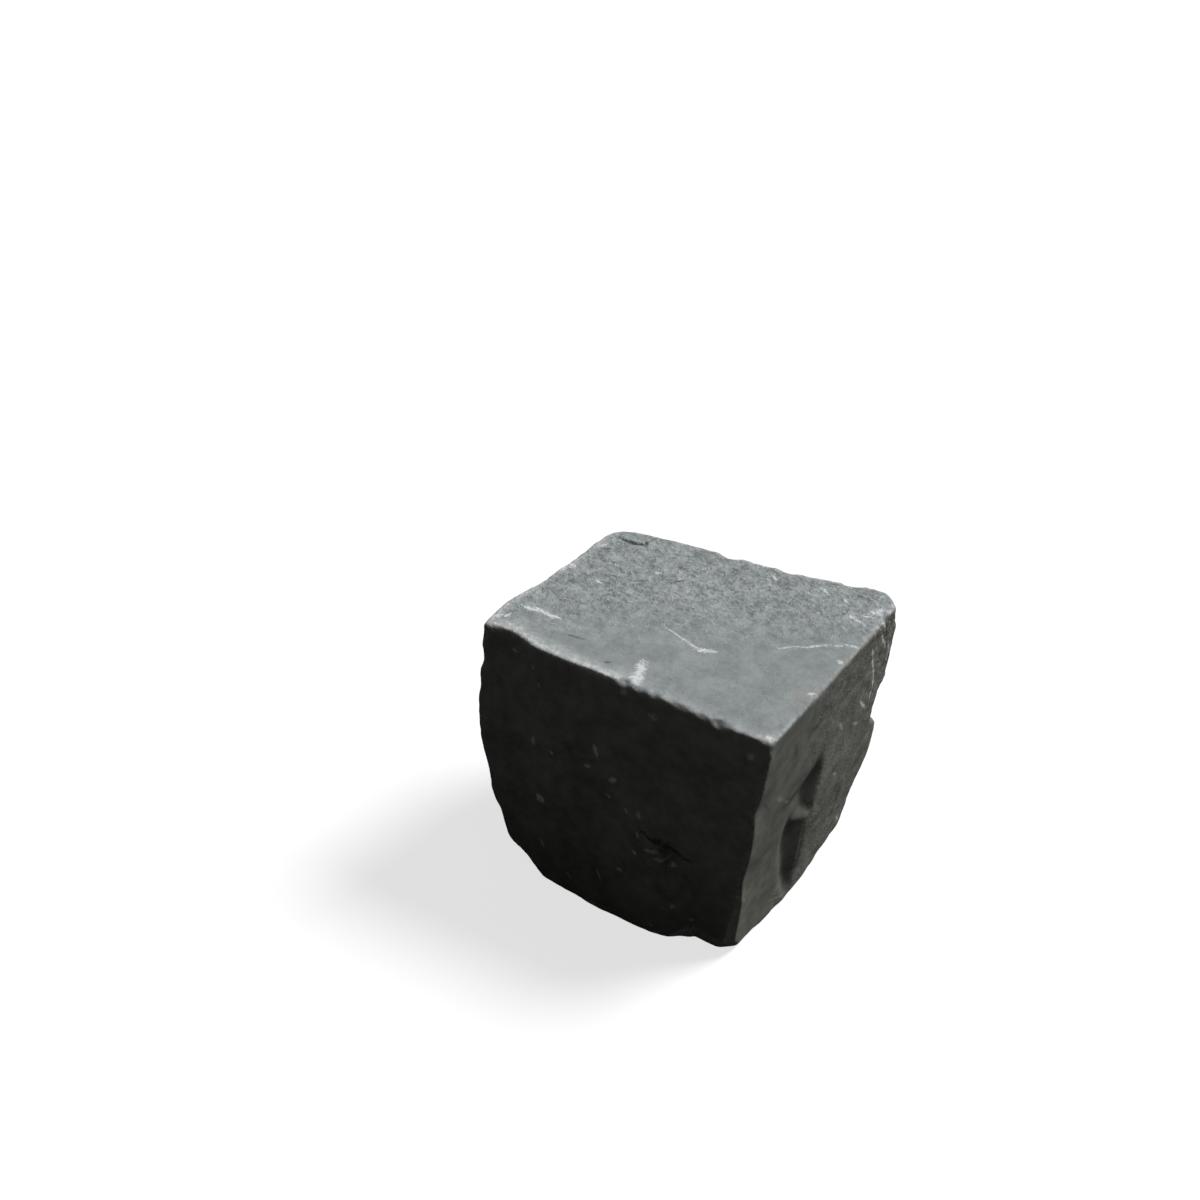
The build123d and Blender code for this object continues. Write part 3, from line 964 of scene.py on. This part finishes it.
# %% The floor and the world
# The floor's side and how far it lies under the bed, in metres, and the levels of its glow, of its
# white for the camera, of its grey for the stone, and of the air round the stone
FLOOR_SIZE, FLOOR_DROP = 60.0, 0.0002
GLOW, PAPER_WHITE, PAPER_GREY = 0.72, (0.30, 0.30, 0.30, 1), (0.045, 0.045, 0.045, 1)
AIR = (0.092, 0.094, 0.095, 1)


def flat_floor():
    """A square floor just under the stone's bed."""
    half = FLOOR_SIZE / 2
    corners = [(-half, -half, 0), (half, -half, 0), (half, half, 0), (-half, half, 0)]
    mesh = bpy.data.meshes.new("floor")
    mesh.from_pydata(corners, [], [(0, 1, 2, 3)])
    floor = bpy.data.objects.new("floor", mesh)
    bpy.context.scene.collection.objects.link(floor)
    floor.location.z = -FLOOR_DROP
    return floor


floor = flat_floor()

# Pale studio floor: matt white paper, so even and bright that it reads as no ground at all
paper = bpy.data.materials.new("pale studio floor")
paper.use_nodes = True
tree = paper.node_tree
tree.nodes.clear()
seen = add(tree, "ShaderNodeLightPath").outputs["Is Camera Ray"]
glow = add(tree, "ShaderNodeEmission", {"Color": (1, 1, 1, 1), "Strength": GLOW})
matt = add(tree, "ShaderNodeBsdfDiffuse", {"Color": PAPER_WHITE})
white = add(tree, "ShaderNodeAddShader", {0: glow.outputs[0], 1: matt.outputs[0]})
grey = add(tree, "ShaderNodeBsdfDiffuse", {"Color": PAPER_GREY})
either = add(tree, "ShaderNodeMixShader", {0: seen, 1: grey.outputs[0], 2: white.outputs[0]})
add(tree, "ShaderNodeOutputMaterial", {0: either.outputs[0]})
floor.data.materials.append(paper)

world = bpy.data.worlds.new("studio air")
world.use_nodes = True
bpy.context.scene.world = world
tree = world.node_tree
background = tree.nodes["Background"]
seen = add(tree, "ShaderNodeLightPath").outputs["Is Camera Ray"]
air = add(tree, "ShaderNodeMix", {0: seen, 6: AIR, 7: (1, 1, 1, 1)}, data_type="RGBA")
tree.links.new(air.outputs[2], background.inputs["Color"])

# %% The lamp
LAMP_DIRECTION = Vector((0.36, 0.45, 0.82)).normalized()
LAMP_WIDTH_DEGREES = 20
LAMP_STRENGTH = 3.9

lamp_data = bpy.data.lights.new("soft lamp", "SUN")
lamp_data.angle = math.radians(LAMP_WIDTH_DEGREES)
lamp_data.energy = LAMP_STRENGTH
lamp = bpy.data.objects.new("soft lamp", lamp_data)
lamp.rotation_euler = LAMP_DIRECTION.to_track_quat("Z", "Y").to_euler()
bpy.context.scene.collection.objects.link(lamp)

# %% The camera
# Read off the photo: the eye in mm, its turn, pitch and roll in degrees, and how many pixels of
# the photo make its side and its focal length
EYE_MM = (276.6, -538.1, 536.5)
EYE_TURN, EYE_PITCH, EYE_ROLL = 30.16, 35.76, 2.68
PHOTO_SIDE, FOCAL_PIXELS = 1200, 2244.2
SENSOR_MM = 36.0

camera_data = bpy.data.cameras.new("camera")
camera_data.sensor_width = SENSOR_MM
camera_data.lens = SENSOR_MM * FOCAL_PIXELS / PHOTO_SIDE
camera = bpy.data.objects.new("camera", camera_data)
camera.matrix_world = (
    Matrix.Translation(Vector(EYE_MM) * MM)
    @ Matrix.Rotation(math.radians(EYE_TURN), 4, "Z")
    @ Matrix.Rotation(math.radians(90 - EYE_PITCH), 4, "X")
    @ Matrix.Rotation(math.radians(EYE_ROLL), 4, "Z")
)
bpy.context.scene.collection.objects.link(camera)
bpy.context.scene.camera = camera
bpy.context.scene.view_settings.view_transform = "Standard"
print(f"lens {camera_data.lens:.2f} mm")
